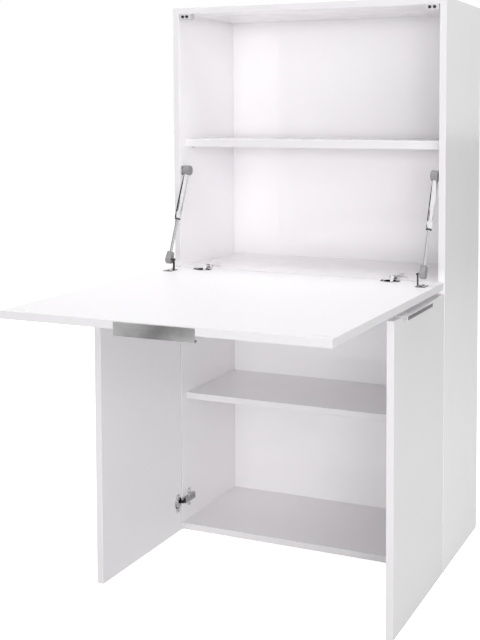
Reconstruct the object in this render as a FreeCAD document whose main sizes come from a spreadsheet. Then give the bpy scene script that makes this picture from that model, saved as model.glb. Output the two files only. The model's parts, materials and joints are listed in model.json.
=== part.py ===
import FreeCAD, Part
import os
import Sketcher
from FreeCAD import Placement, Rotation, Vector

# Fold-down wall desk: a tall cabinet with a drop flap and two doors.
# Millimetres. X to the right, Y to the back, Z up from the floor.
# Drawn in use: the flap is down and both doors stand open.

doc = FreeCAD.newDocument("fold_down_wall_desk")
sheet = doc.addObject("Spreadsheet::Sheet", "Dim")

SIZES = (
    ("cab_width", 800),
    ("cab_depth", 345),
    ("cab_height", 1500),
    ("foot_height", 5),
    ("foot_radius", 8),
    ("foot_chamfer", 1.5),
    ("foot_inset", 14),
    ("board", 18),
    ("edge_soft", 1),
    ("desk_level", 772),
    ("back_thick", 8),
    ("back_inset", 3),
    ("groove_depth", 8),
    ("groove_play", 0.2),
    ("shelf_setback", 30),
    ("shelf_play", 0.5),
    ("upper_shelf_top", 1136),
    ("upper_shelf_thick", 22),
    ("lower_shelf_top", 399),
    ("lower_shelf_thick", 18),
    ("pin_radius", 2.5),
    ("pin_hole_depth", 9),
    ("pin_reach", 8),
    ("pin_front", 70),
    ("pin_rear", 290),
    ("pin_play", 0.05),
    ("door_gap", 3),
    ("reveal", 1),
    ("door_top", 742),
    ("door_swing_gap", 5),
    ("flap_bottom", 745),
    ("flap_axis_out", 20),
    ("hinge_left_in", 88),
    ("hinge_right_in", 120),
    ("door_hinge_rise", 84),
    ("flap_cup_edge", 21.5),
    ("door_cup_edge", 20.5),
    ("cup_radius", 17.5),
    ("cup_depth", 13),
    ("cup_wall", 0.8),
    ("cup_rim", 1.1),
    ("cup_bore_play", 0.1),
    ("flange_span", 52),
    ("flange_depth", 22),
    ("flange_thick", 1.4),
    ("flange_corner", 5),
    ("screw_spread", 22),
    ("screw_head", 3.5),
    ("screw_rise", 1.2),
    ("screw_shank", 1.75),
    ("screw_length", 11),
    ("screw_slot", 0.9),
    ("screw_play", 0.3),
    ("plate_thick", 2),
    ("plate_spine_front", 14),
    ("plate_spine_back", 60),
    ("plate_wing_at", 37),
    ("plate_wing_depth", 16),
    ("arm_width", 16),
    ("arm_wall", 1.5),
    ("arm_front", 0.5),
    ("arm_back", 58),
    ("arm_height", 12),
    ("arm_nose", 4),
    ("arm_screw_radius", 3.2),
    ("link_width", 8),
    ("link_thick", 3),
    ("link_hub", 3),
    ("link_tip", 1.8),
    ("pivot_back", 4),
    ("pivot_rise", 7),
    ("pivot_pin", 1.5),
    ("flap_knee_out", 12),
    ("flap_knee_rise", 10),
    ("flap_tip_out", 20),
    ("door_knee_out", 10),
    ("door_knee_rise", 9.5),
    ("door_tip_out", 12.5),
    ("tip_drop", 4),
    ("handle_length", 195),
    ("handle_thick", 1.8),
    ("handle_inset", 2.4),
    ("handle_face", 30),
    ("handle_return", 9),
    ("handle_hook", 5),
    ("tongue_depth", 10),
    ("tongue_thick", 1.8),
    ("tongue_play", 0.2),
    ("door_handle_from_free", 153),
    ("catch_width", 36),
    ("catch_height", 14),
    ("catch_depth", 20),
    ("catch_front", 0.5),
    ("catch_side_gap", 2),
    ("catch_soft", 1),
    ("magnet_radius", 4),
    ("magnet_spread", 6.5),
    ("magnet_seat", 6),
    ("strike_thick", 1.2),
    ("strike_gap", 0.3),
    ("strut_out", 14),
    ("strut_top_in", 18),
    ("strut_top_level", 1046),
    ("strut_foot_out", 85),
    ("strut_foot_level", 803),
    ("tube_radius", 7.5),
    ("tube_wall", 1.2),
    ("tube_from", 15),
    ("tube_length", 130),
    ("tube_cap", 14),
    ("tube_round", 3),
    ("crimp_at", 19),
    ("crimp_half", 1.2),
    ("crimp_depth", 0.8),
    ("rod_radius", 3),
    ("rod_play", 0.05),
    ("rod_inside", 30),
    ("piston_length", 8),
    ("piston_play", 0.1),
    ("head_radius", 14),
    ("head_inner", 11),
    ("head_outer", 9.5),
    ("head_neck", 8.5),
    ("head_soft", 2.5),
    ("shoe_radius", 12),
    ("shoe_half", 8),
    ("shoe_top", 8),
    ("shoe_reach", 22),
    ("shoe_soft", 2.5),
    ("shoe_bore", 4.3),
    ("shoe_bore_depth", 12.5),
    ("ball_radius", 4),
    ("stud_radius", 2.25),
    ("top_stud_radius", 4),
    ("stud_gap", 0.4),
    ("bracket_thick", 2),
    ("top_plate_height", 26),
    ("top_plate_depth", 18),
    ("top_screw_spread", 8),
    ("foot_stub", 5),
    ("foot_rivet_radius", 3.75),
    ("foot_rivet_rise", 2.5),
    ("foot_plate_reach", 24),
    ("foot_plate_length", 34),
    ("foot_screw_spread", 11),
    ("foot_upright_length", 9),
    ("foot_upright_over", 4.5),
    ("upright_soft", 3.5),
    ("bracket_soft", 4),
)

for row, (alias, value) in enumerate(SIZES, 1):
    sheet.set("A%d" % row, alias)
    sheet.set("B%d" % row, str(value))
    sheet.setAlias("B%d" % row, alias)
doc.recompute()

# Places that several pieces share, as expression text.
HALF = "Dim.cab_width / 2"
SIDE_IN = "(Dim.cab_width / 2 - Dim.board)"
BASE = "Dim.foot_height"
TOP = "(Dim.foot_height + Dim.cab_height)"
BACK_FRONT = "(Dim.cab_depth - Dim.back_inset - Dim.back_thick)"
FLAP_LONG = "(%s - Dim.reveal - Dim.flap_bottom)" % TOP
FLAP_WIDE = "(Dim.cab_width - 2 * Dim.reveal)"
FLAP_FALL = "(Dim.desk_level + Dim.door_gap - Dim.flap_bottom)"
FLAP_REAR = "(2 * Dim.flap_axis_out - %s)" % FLAP_FALL
FLAP_FRONT = "(%s + %s)" % (FLAP_REAR, FLAP_LONG)
DOOR_WIDE = "(Dim.cab_width / 2 - 2 * Dim.reveal)"
DOOR_HIGH = "(Dim.door_top - Dim.foot_height)"
DOOR_FRONT = "(Dim.door_swing_gap + %s)" % DOOR_WIDE
HINGE_LEFT = "(%s - Dim.hinge_left_in)" % SIDE_IN
HINGE_RIGHT = "(%s - Dim.hinge_right_in)" % SIDE_IN
HINGE_LOW = "(Dim.foot_height + Dim.door_hinge_rise)"
HINGE_HIGH = "(Dim.door_top - Dim.door_hinge_rise)"
CATCH_AT = "(%s - Dim.catch_side_gap - Dim.catch_width / 2)" % SIDE_IN
CATCH_LEVEL = "(%s - Dim.board - Dim.catch_height / 2)" % TOP
STRUT_X = "(%s - Dim.strut_out)" % SIDE_IN
STRUT_Y = "(Dim.strut_top_in + Dim.strut_foot_out)"
STRUT_Z = "(Dim.strut_top_level - Dim.strut_foot_level)"
STRUT_LONG = "sqrt(%s ^ 2 + %s ^ 2)" % (STRUT_Y, STRUT_Z)
STRUT_TILT = "atan2(%s; %s)" % (STRUT_Y, STRUT_Z)

# Every piece is drawn from the cabinet's front plane and then moved back, so
# that the frame stands under the middle of the whole outline.
FRONT_AT = "(%s + Dim.handle_thick - Dim.cab_depth) / 2" % FLAP_FRONT

PIECES = []


def put(thing, x="0", y="0", z="0"):
    for axis, text in zip("xyz", (x, y, z)):
        thing.setExpression("Placement.Base." + axis, text)
    return thing


def keep(thing, label):
    placed = dict(thing.ExpressionEngine)
    y = placed.get("Placement.Base.y") or placed.get(".Placement.Base.y") or "0"
    thing.setExpression("Placement.Base.y", "%s + %s" % (y, FRONT_AT))
    thing.Label = label
    PIECES.append(thing)
    return thing


def number(text):
    return float(sheet.evalExpression(text))


# Plain solids and booleans.


def block(name, size, at=("0", "0", "0")):
    made = doc.addObject("Part::Box", name)
    for side, text in zip(("Length", "Width", "Height"), size):
        made.setExpression(side, text)
    return put(made, *at)


def cylinder(name, radius, height, at=("0", "0", "0"), along=Vector(0, 0, 1)):
    made = doc.addObject("Part::Cylinder", name)
    made.setExpression("Radius", radius)
    made.setExpression("Height", height)
    made.Placement = Placement(Vector(), Rotation(Vector(0, 0, 1), along))
    return put(made, *at)


def ball(name, radius, at):
    made = doc.addObject("Part::Sphere", name)
    made.setExpression("Radius", radius)
    return put(made, *at)


def fused(name, shapes):
    made = doc.addObject("Part::MultiFuse", name)
    made.Shapes = shapes
    made.Refine = True
    return made


def trimmed(name, base, tool):
    made = doc.addObject("Part::Cut", name)
    made.Base = base
    made.Tool = tool
    made.Refine = True
    return made


def grouped(name, shapes):
    made = doc.addObject("Part::Compound", name)
    made.Links = shapes
    return made


def rounded(name, base, radius, is_wanted):
    doc.recompute()
    made = doc.addObject("Part::Fillet", name)
    made.Base = base
    made.Edges = [
        (index, radius, radius)
        for index, edge in enumerate(base.Shape.Edges, 1)
        if is_wanted(edge)
    ]
    return made


# Bodies drawn as sketches and features.


def new_body(name):
    return doc.addObject("PartDesign::Body", name)


def sketch_on(body, role, name, offset="0"):
    sketch = body.newObject("Sketcher::SketchObject", name)
    plane = [f for f in body.Origin.OriginFeatures if f.Role == role][0]
    sketch.AttachmentSupport = [(plane, "")]
    sketch.MapMode = "FlatFace"
    sketch.setExpression("AttachmentOffset.Base.z", offset)
    return sketch


def pin_point(sketch, geometry, point, name, x, y):
    for kind, text in (("DistanceX", x), ("DistanceY", y)):
        tag = name + kind[-1].lower()
        rule = Sketcher.Constraint(kind, -1, 1, geometry, point, number(text))
        index = sketch.addConstraint(rule)
        sketch.renameConstraint(index, tag)
        sketch.setExpression("Constraints." + tag, text)


def outline(sketch, points):
    first = sketch.GeometryCount
    count = len(points)
    places = [Vector(number(x), number(y), 0) for x, y in points]
    for i in range(count):
        line = Part.LineSegment(places[i], places[(i + 1) % count])
        sketch.addGeometry(line, False)
    for i in range(count):
        after = first + (i + 1) % count
        sketch.addConstraint(Sketcher.Constraint("Coincident", first + i, 2, after, 1))
    for i, (x, y) in enumerate(points):
        pin_point(sketch, first + i, 1, "p%d" % (first + i), x, y)


def ring(sketch, x, y, radius):
    place = Vector(number(x), number(y), 0)
    circle = Part.Circle(place, Vector(0, 0, 1), number(radius))
    index = sketch.addGeometry(circle, False)
    pin_point(sketch, index, 3, "c%d" % index, x, y)
    rule = sketch.addConstraint(Sketcher.Constraint("Radius", index, number(radius)))
    tag = "r%d" % index
    sketch.renameConstraint(rule, tag)
    sketch.setExpression("Constraints." + tag, radius)


def box_points(x0, y0, x1, y1):
    return ((x0, y0), (x1, y0), (x1, y1), (x0, y1))


def padded(body, role, points, length, holes=(), backwards=False, offset="0"):
    sketch = sketch_on(body, role, body.Name + "_outline", offset)
    outline(sketch, points)
    for hole in holes:
        ring(sketch, *hole)
    pad = body.newObject("PartDesign::Pad", body.Name + "_pad")
    pad.Profile = sketch
    pad.setExpression("Length", length)
    pad.Reversed = backwards
    body.Tip = pad
    return body


def sunk(body, role, name, depth, outlines=(), holes=(), offset="0", backwards=False):
    doc.recompute()
    before = body.Shape.Volume
    sketch = sketch_on(body, role, body.Name + name, offset)
    for points in outlines:
        outline(sketch, points)
    for hole in holes:
        ring(sketch, *hole)
    pocket = body.newObject("PartDesign::Pocket", body.Name + name + "_cut")
    pocket.Profile = sketch
    pocket.setExpression("Length", depth)
    pocket.Reversed = backwards
    body.Tip = pocket
    doc.recompute()
    if body.Shape.Volume >= before:
        raise ValueError("nothing was cut by " + pocket.Name)
    return body


def turned(body, points):
    sketch = sketch_on(body, "XZ_Plane", body.Name + "_profile")
    outline(sketch, points)
    spin = body.newObject("PartDesign::Revolution", body.Name + "_turn")
    spin.Profile = sketch
    spin.ReferenceAxis = (sketch, ["V_Axis"])
    spin.Angle = 360
    body.Tip = spin
    return body


def softened(body, is_wanted, radius="Dim.edge_soft"):
    doc.recompute()
    tip = body.Tip
    names = [
        "Edge%d" % index
        for index, edge in enumerate(tip.Shape.Edges, 1)
        if is_wanted(edge)
    ]
    soft = body.newObject("PartDesign::Fillet", tip.Name + "_soft")
    soft.Base = (tip, names)
    soft.setExpression("Radius", radius)
    body.Tip = soft
    return body


def runs(edge, axis):
    a, b = edge.firstVertex().Point, edge.lastVertex().Point
    return edge.Curve.TypeId == "Part::GeomLine" and abs(abs((b - a).normalize()[axis]) - 1) < 1e-6


def lies(edge, axis, level):
    box = edge.BoundBox
    low = (box.XMin, box.YMin, box.ZMin)[axis]
    high = (box.XMax, box.YMax, box.ZMax)[axis]
    return abs(low - level) < 1e-4 and abs(high - level) < 1e-4


# Cabinet boards.

GROOVE_Y0 = BACK_FRONT
GROOVE_Y1 = "(Dim.cab_depth - Dim.back_inset + Dim.groove_play)"
GROOVE_END = "(Dim.board - Dim.groove_depth)"
GROOVE_RISE = "(Dim.cab_height - Dim.board + Dim.groove_depth)"
UPPER_UNDER = "(Dim.upper_shelf_top - Dim.upper_shelf_thick)"
LOWER_UNDER = "(Dim.lower_shelf_top - Dim.lower_shelf_thick)"
PIN_PLACES = [(y, z) for y in ("Dim.pin_front", "Dim.pin_rear") for z in (UPPER_UNDER, LOWER_UNDER)]
PIN_HOLE = "(Dim.pin_radius + Dim.pin_play)"

for name, x, groove_x, hole_x in (
    ("side_left", "-" + HALF, GROOVE_END, "Dim.board - Dim.pin_hole_depth"),
    ("side_right", SIDE_IN, "0", "0"),
):
    side = new_body(name)
    padded(side, "YZ_Plane", box_points("0", "0", "Dim.cab_depth", "Dim.cab_height"), "Dim.board")
    sunk(
        side, "YZ_Plane", "_groove", "Dim.groove_depth",
        outlines=[box_points(GROOVE_Y0, GROOVE_END, GROOVE_Y1, GROOVE_RISE)],
        offset=groove_x, backwards=True,
    )
    sunk(
        side, "YZ_Plane", "_pin_holes", "Dim.pin_hole_depth",
        holes=[(y, "%s - %s - Dim.pin_radius" % (z, BASE), PIN_HOLE) for y, z in PIN_PLACES],
        offset=hole_x, backwards=True,
    )
    softened(side, lambda e: runs(e, 2) and lies(e, 1, 0))
    put(side, x, "0", BASE)
    keep(side, name)

INNER_WIDE = "(2 * %s)" % SIDE_IN
for name, z, cut_z in (
    ("top_panel", "%s - Dim.board" % TOP, "0"),
    ("bottom_panel", BASE, GROOVE_END),
):
    panel = new_body(name)
    padded(panel, "XY_Plane", box_points("0", "0", INNER_WIDE, "Dim.cab_depth"), "Dim.board")
    sunk(
        panel, "XY_Plane", "_groove", "Dim.groove_depth",
        outlines=[box_points("0", GROOVE_Y0, INNER_WIDE, GROOVE_Y1)],
        offset=cut_z, backwards=True,
    )
    softened(panel, lambda e: runs(e, 0) and lies(e, 1, 0))
    put(panel, "-" + SIDE_IN, "0", z)
    keep(panel, name)

for name, front, top, thick, play in (
    ("desk_board", "0", "Dim.desk_level", "Dim.board", "0"),
    ("upper_shelf", "Dim.shelf_setback", "Dim.upper_shelf_top", "Dim.upper_shelf_thick", "Dim.shelf_play"),
    ("lower_shelf", "Dim.shelf_setback", "Dim.lower_shelf_top", "Dim.lower_shelf_thick", "Dim.shelf_play"),
):
    wide = "(%s - 2 * %s)" % (INNER_WIDE, play)
    deep = "(%s - %s - %s)" % (BACK_FRONT, front, play)
    panel = new_body(name)
    padded(panel, "XY_Plane", box_points("0", "0", wide, deep), thick)
    softened(panel, lambda e: runs(e, 0) and lies(e, 1, 0))
    put(panel, "-%s + %s" % (SIDE_IN, play), front, "%s - %s" % (top, thick))
    keep(panel, name)

BACK_X = "(%s + Dim.groove_depth - Dim.shelf_play)" % SIDE_IN
BACK_Z = "(%s + %s + Dim.shelf_play)" % (BASE, GROOVE_END)
back = block(
    "back_panel",
    ("2 * " + BACK_X, "Dim.back_thick", "Dim.cab_height - 2 * %s - 2 * Dim.shelf_play" % GROOVE_END),
    ("-" + BACK_X, BACK_FRONT, BACK_Z),
)
keep(back, "back_panel")

pins = []
for side_name, edge_x in (("left", "-%s - Dim.pin_hole_depth" % SIDE_IN), ("right", "%s - Dim.pin_reach" % SIDE_IN)):
    for y, z in PIN_PLACES:
        pins.append(
            cylinder(
                "pin_%s_%d" % (side_name, len(pins)), "Dim.pin_radius",
                "Dim.pin_hole_depth + Dim.pin_reach",
                (edge_x, y, "%s - Dim.pin_radius" % z), Vector(1, 0, 0),
            )
        )
keep(grouped("pin_group", pins), "shelf_pins")

feet = []
for x in ("-1", "1"):
    for y in ("Dim.foot_inset", "Dim.cab_depth - Dim.foot_inset"):
        foot = new_body("foot_%d" % len(feet))
        turned(
            foot,
            (
                ("0", "0"),
                ("Dim.foot_radius - Dim.foot_chamfer", "0"),
                ("Dim.foot_radius", "Dim.foot_chamfer"),
                ("Dim.foot_radius", "Dim.foot_height"),
                ("0", "Dim.foot_height"),
            ),
        )
        put(foot, "%s * (%s - Dim.board / 2)" % (x, HALF), y, "0")
        feet.append(foot)
keep(grouped("foot_group", feet), "glides")

# Drop flap, lying open as the desk top.

CUP_HOLE = "(Dim.cup_radius + Dim.cup_bore_play)"
CUP_SINK = "(Dim.cup_depth + Dim.cup_bore_play)"
TONGUE_AT = "(Dim.board / 2)"
TONGUE_HALF = "(Dim.tongue_thick / 2 + Dim.tongue_play)"
SLOT_DEEP = "(Dim.tongue_depth + 2 * Dim.tongue_play)"
SLOT_HALF = "(Dim.handle_length / 2 + Dim.tongue_play)"

flap = new_body("flap_panel")
padded(flap, "XY_Plane", box_points("0", "0", FLAP_WIDE, FLAP_LONG), "Dim.board")
CUP_Y = "(%s - Dim.flap_cup_edge)" % FLAP_LONG
sunk(
    flap, "XY_Plane", "_cups", CUP_SINK,
    holes=[
        ("%s / 2 - %s" % (FLAP_WIDE, HINGE_LEFT), CUP_Y, CUP_HOLE),
        ("%s / 2 + %s" % (FLAP_WIDE, HINGE_RIGHT), CUP_Y, CUP_HOLE),
    ],
    offset="Dim.board",
)
STRIKE_Y = "(%s - Dim.reveal - %s)" % (TOP, CATCH_LEVEL)
sunk(
    flap, "XY_Plane", "_strikes", "Dim.strike_thick",
    outlines=[
        box_points(
            "%s / 2 + %s * %s - Dim.catch_width / 2" % (FLAP_WIDE, sign, CATCH_AT),
            "%s - Dim.catch_height / 2" % STRIKE_Y,
            "%s / 2 + %s * %s + Dim.catch_width / 2" % (FLAP_WIDE, sign, CATCH_AT),
            "%s + Dim.catch_height / 2" % STRIKE_Y,
        )
        for sign in ("-1", "1")
    ],
    offset="Dim.board",
)
sunk(
    flap, "XZ_Plane", "_slot", SLOT_DEEP,
    outlines=[
        box_points(
            "%s / 2 - %s" % (FLAP_WIDE, SLOT_HALF), "%s - %s" % (TONGUE_AT, TONGUE_HALF),
            "%s / 2 + %s" % (FLAP_WIDE, SLOT_HALF), "%s + %s" % (TONGUE_AT, TONGUE_HALF),
        )
    ],
)
flap_wide_now = number(FLAP_WIDE)
softened(flap, lambda e: runs(e, 2) and (lies(e, 0, 0) or lies(e, 0, flap_wide_now)))
put(flap, "-%s / 2" % FLAP_WIDE, "-" + FLAP_FRONT, "Dim.desk_level - Dim.board")
keep(flap, "flap_panel")

for name, sign in (("strike_left", "-1"), ("strike_right", "1")):
    strike = block(
        name,
        ("Dim.catch_width", "Dim.catch_height", "Dim.strike_thick"),
        (
            "%s * %s - Dim.catch_width / 2" % (sign, CATCH_AT),
            "-%s + %s - Dim.catch_height / 2" % (FLAP_FRONT, STRIKE_Y),
            "Dim.desk_level - Dim.strike_thick",
        ),
    )
    keep(strike, name)

# Doors, swung square to the cabinet front.

for name, x, cup_x, cup_back in (
    ("door_left_panel", "-" + HALF, "Dim.board", False),
    ("door_right_panel", SIDE_IN, "0", True),
):
    door = new_body(name)
    padded(door, "YZ_Plane", box_points("0", "0", DOOR_WIDE, DOOR_HIGH), "Dim.board")
    sunk(
        door, "YZ_Plane", "_cups", CUP_SINK,
        holes=[
            ("%s - Dim.door_cup_edge" % DOOR_WIDE, "%s - %s" % (z, BASE), CUP_HOLE)
            for z in (HINGE_LOW, HINGE_HIGH)
        ],
        offset=cup_x, backwards=cup_back,
    )
    sunk(
        door, "XY_Plane", "_slot", SLOT_DEEP,
        outlines=[
            box_points(
                "%s - %s" % (TONGUE_AT, TONGUE_HALF), "Dim.door_handle_from_free - %s" % SLOT_HALF,
                "%s + %s" % (TONGUE_AT, TONGUE_HALF), "Dim.door_handle_from_free + %s" % SLOT_HALF,
            )
        ],
        offset=DOOR_HIGH,
    )
    door_wide_now = number(DOOR_WIDE)
    softened(door, lambda e: runs(e, 2) and (lies(e, 1, 0) or lies(e, 1, door_wide_now)))
    put(door, x, "-" + DOOR_FRONT, BASE)
    keep(door, name)

# Edge handles: one bent strip, on the outer edge of the flap and of each door.
# Drawn with X along the strip, Y from the panel edge outwards and Z across the
# edge from the panel's inner face to its outer face.

T = "Dim.handle_thick"
FACE0 = "Dim.handle_inset"
FACE1 = "(Dim.handle_inset + Dim.handle_face)"
HANDLE_POINTS = (
    (FACE0, "0"),
    ("Dim.board / 2 - Dim.tongue_thick / 2", "0"),
    ("Dim.board / 2 - Dim.tongue_thick / 2", "-Dim.tongue_depth"),
    ("Dim.board / 2 + Dim.tongue_thick / 2", "-Dim.tongue_depth"),
    ("Dim.board / 2 + Dim.tongue_thick / 2", "0"),
    ("%s - %s" % (FACE1, T), "0"),
    ("%s - %s" % (FACE1, T), "-Dim.handle_return + 2 * %s" % T),
    ("%s - Dim.handle_hook" % FACE1, "-Dim.handle_return + 2 * %s" % T),
    ("%s - Dim.handle_hook" % FACE1, "-Dim.handle_return + %s" % T),
    (FACE1, "-Dim.handle_return + %s" % T),
    (FACE1, T),
    (FACE0, T),
)


def handle(name):
    made = new_body(name)
    padded(made, "XY_Plane", HANDLE_POINTS, "Dim.handle_length")
    far = number(FACE1)
    low = number("-Dim.handle_return + " + T)
    high = number(T)
    softened(
        made,
        lambda e: runs(e, 2) and lies(e, 0, far) and (lies(e, 1, high) or lies(e, 1, low)),
    )
    return made


FLAP_TURN = Rotation(Vector(0, 0, -1), Vector(0, -1, 0), Vector(-1, 0, 0), "ZXY")
made = handle("flap_handle")
made.Placement = Placement(Vector(), FLAP_TURN)
put(made, "Dim.handle_length / 2", "-" + FLAP_FRONT, "Dim.desk_level")
keep(made, "flap_handle")

RIGHT_TURN = Rotation(Vector(1, 0, 0), Vector(0, 0, 1), Vector(0, -1, 0), "ZXY")
LEFT_TURN = Rotation(Vector(-1, 0, 0), Vector(0, 0, 1), Vector(0, 1, 0), "ZXY")
HANDLE_Y = "(-%s + Dim.door_handle_from_free)" % DOOR_FRONT
for name, turn, x, y in (
    ("door_left_handle", LEFT_TURN, "-" + SIDE_IN, "%s - Dim.handle_length / 2" % HANDLE_Y),
    ("door_right_handle", RIGHT_TURN, SIDE_IN, "%s + Dim.handle_length / 2" % HANDLE_Y),
):
    made = handle(name)
    made.Placement = Placement(Vector(), turn)
    put(made, x, y, "Dim.door_top")
    keep(made, name)

# Magnetic catches under the top panel.

magnets = []
for name, sign in (("catch_left", "-1"), ("catch_right", "1")):
    centre = "%s * %s" % (sign, CATCH_AT)
    case = block(
        name + "_block",
        ("Dim.catch_width", "Dim.catch_depth", "Dim.catch_height"),
        (
            "%s - Dim.catch_width / 2" % centre, "Dim.catch_front",
            "%s - Dim.catch_height / 2" % CATCH_LEVEL,
        ),
    )
    soft = rounded(
        name + "_soft", case, number("Dim.catch_soft"),
        lambda e: runs(e, 1) or (lies(e, 1, case.Shape.BoundBox.YMin)),
    )
    holes = []
    for side in ("-1", "1"):
        at = "%s + %s * Dim.magnet_spread" % (centre, side)
        holes.append(
            cylinder(
                "%s_seat_%d" % (name, len(holes)), "Dim.magnet_radius", "Dim.magnet_seat",
                (at, "Dim.catch_front", CATCH_LEVEL), Vector(0, 1, 0),
            )
        )
        reach = "(Dim.door_gap - Dim.strike_gap)"
        magnets.append(
            cylinder(
                "%s_magnet_%d" % (name, len(holes)), "Dim.magnet_radius",
                "Dim.magnet_seat + Dim.catch_front + " + reach,
                (at, "-" + reach, CATCH_LEVEL), Vector(0, 1, 0),
            )
        )
    keep(trimmed(name, soft, fused(name + "_seats", holes)), name + "_case")
keep(grouped("magnet_group", magnets), "catch_magnets")

# Cup hinges. Each piece is drawn with X across the hinge, Y into the cabinet
# and Z up from the board, from the front edge of that board.


def screw(name, at, turn=None):
    head = cylinder(name + "_head", "Dim.screw_head", "Dim.screw_rise")
    slot_long = block(
        name + "_slot_a", ("3.6 * Dim.screw_shank", "Dim.screw_slot", "Dim.screw_slot"),
        ("-1.8 * Dim.screw_shank", "-Dim.screw_slot / 2", "Dim.screw_rise - Dim.screw_slot"),
    )
    slot_wide = block(
        name + "_slot_b", ("Dim.screw_slot", "3.6 * Dim.screw_shank", "Dim.screw_slot"),
        ("-Dim.screw_slot / 2", "-1.8 * Dim.screw_shank", "Dim.screw_rise - Dim.screw_slot"),
    )
    shank = cylinder(
        name + "_shank", "Dim.screw_shank", "Dim.screw_length", ("0", "0", "-Dim.screw_length")
    )
    cross = fused(name + "_cross", [slot_long, slot_wide])
    made = fused(name, [trimmed(name + "_drive", head, cross), shank])
    if turn is not None:
        made.Placement = Placement(Vector(), turn)
    return put(made, *at)


def hinge_cup(name):
    wings = block(
        name + "_wings", ("Dim.flange_span", "Dim.flange_depth", "Dim.flange_thick"),
        ("-Dim.flange_span / 2", "-Dim.flange_depth / 2", "0"),
    )
    soft = rounded(name + "_wings_soft", wings, number("Dim.flange_corner"), lambda e: runs(e, 2))
    rim = cylinder(name + "_rim", "Dim.cup_radius + Dim.cup_rim", "Dim.flange_thick")
    wall = cylinder(name + "_wall", "Dim.cup_radius", "Dim.cup_depth", ("0", "0", "-Dim.cup_depth"))
    outside = fused(name + "_outside", [soft, rim, wall])
    tools = [
        cylinder(
            name + "_hollow", "Dim.cup_radius - Dim.cup_wall", "Dim.cup_depth + Dim.flange_thick",
            ("0", "0", "-Dim.cup_depth + Dim.cup_wall"),
        )
    ]
    for sign in ("-1", "1"):
        tools.append(
            cylinder(
                "%s_hole_%d" % (name, len(tools)), "Dim.screw_shank + Dim.screw_play",
                "Dim.flange_thick", ("%s * Dim.screw_spread" % sign, "0", "0"),
            )
        )
    return trimmed(name, outside, fused(name + "_tools", tools))


def hinge_plate(name):
    spine_long = "(Dim.plate_spine_back - Dim.plate_spine_front)"
    spine = block(
        name + "_spine", ("Dim.arm_width", spine_long, "Dim.plate_thick"),
        ("-Dim.arm_width / 2", "Dim.plate_spine_front", "0"),
    )
    wings = block(
        name + "_wings", ("Dim.flange_span", "Dim.plate_wing_depth", "Dim.plate_thick"),
        ("-Dim.flange_span / 2", "Dim.plate_wing_at - Dim.plate_wing_depth / 2", "0"),
    )
    soft = rounded(name + "_wings_soft", wings, number("Dim.flange_corner"), lambda e: runs(e, 2))
    tools = [
        cylinder(
            name + "_hole" + word, "Dim.screw_shank + Dim.screw_play", "Dim.plate_thick",
            ("%s * Dim.screw_spread" % sign, "Dim.plate_wing_at", "0"),
        )
        for word, sign in (("_a", "-1"), ("_b", "1"))
    ]
    return trimmed(name, fused(name + "_blank", [spine, soft]), fused(name + "_tools", tools))


def hinge_arm(name):
    arm_long = "(Dim.arm_back - Dim.arm_front)"
    wall_high = "(Dim.arm_height - Dim.plate_thick)"
    shell = block(
        name + "_shell", ("Dim.arm_width", arm_long, wall_high),
        ("-Dim.arm_width / 2", "Dim.arm_front", "Dim.plate_thick"),
    )
    nose = rounded(
        name + "_shell_soft", shell, number("Dim.arm_nose"),
        lambda e: runs(e, 0) and lies(e, 2, number("Dim.arm_height")),
    )
    hollow = block(
        name + "_hollow",
        ("Dim.arm_width - 2 * Dim.arm_wall", arm_long, wall_high + " - Dim.arm_wall"),
        ("-Dim.arm_width / 2 + Dim.arm_wall", "Dim.arm_front", "Dim.plate_thick"),
    )
    gap = trimmed(name + "_channel", nose, hollow)
    pin = cylinder(
        name + "_pin", "Dim.pivot_pin", "Dim.arm_width",
        ("-Dim.arm_width / 2", "Dim.pivot_back", "Dim.pivot_rise"), Vector(1, 0, 0),
    )
    bolts = [
        cylinder(
            name + "_bolt" + word, "Dim.arm_screw_radius", wall_high + " + Dim.screw_rise / 2",
            ("0", at, "Dim.plate_thick"),
        )
        for word, at in (("_a", "Dim.plate_wing_at"), ("_b", "Dim.plate_spine_back - 3 * Dim.arm_screw_radius"))
    ]
    return fused(name, [gap, pin] + bolts)


def link_bar(name, y1, z1, y2, z2):
    tilt = "atan2(%s - (%s); %s - (%s))" % (z2, z1, y2, y1)
    made = doc.addObject("Part::Box", name)
    made.setExpression("Length", "Dim.link_width")
    made.setExpression("Width", "sqrt((%s - (%s)) ^ 2 + (%s - (%s)) ^ 2)" % (y2, y1, z2, z1))
    made.setExpression("Height", "Dim.link_thick")
    made.Placement = Placement(Vector(), Rotation(Vector(1, 0, 0), 1))
    made.setExpression("Placement.Rotation.Angle", tilt)
    return put(
        made, "-Dim.link_width / 2",
        "%s + Dim.link_thick / 2 * sin(%s)" % (y1, tilt),
        "%s - Dim.link_thick / 2 * cos(%s)" % (z1, tilt),
    )


def hinge_link(name, knee, tip):
    pivot = ("Dim.pivot_back", "Dim.pivot_rise")
    shapes = [link_bar(name + "_bar_a", *(knee + pivot)), link_bar(name + "_bar_b", *(tip + knee))]
    for word, radius, (y, z) in (
        ("_hub", "Dim.link_hub", pivot),
        ("_knee", "Dim.link_thick / 2", knee),
        ("_tip", "Dim.link_tip", tip),
    ):
        shapes.append(
            cylinder(
                name + word, radius, "Dim.link_width", ("-Dim.link_width / 2", y, z), Vector(1, 0, 0)
            )
        )
    bore = cylinder(
        name + "_bore", "Dim.pivot_pin + Dim.pin_play", "Dim.link_width",
        ("-Dim.link_width / 2",) + pivot, Vector(1, 0, 0),
    )
    return trimmed(name, fused(name + "_blank", shapes), bore)


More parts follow.
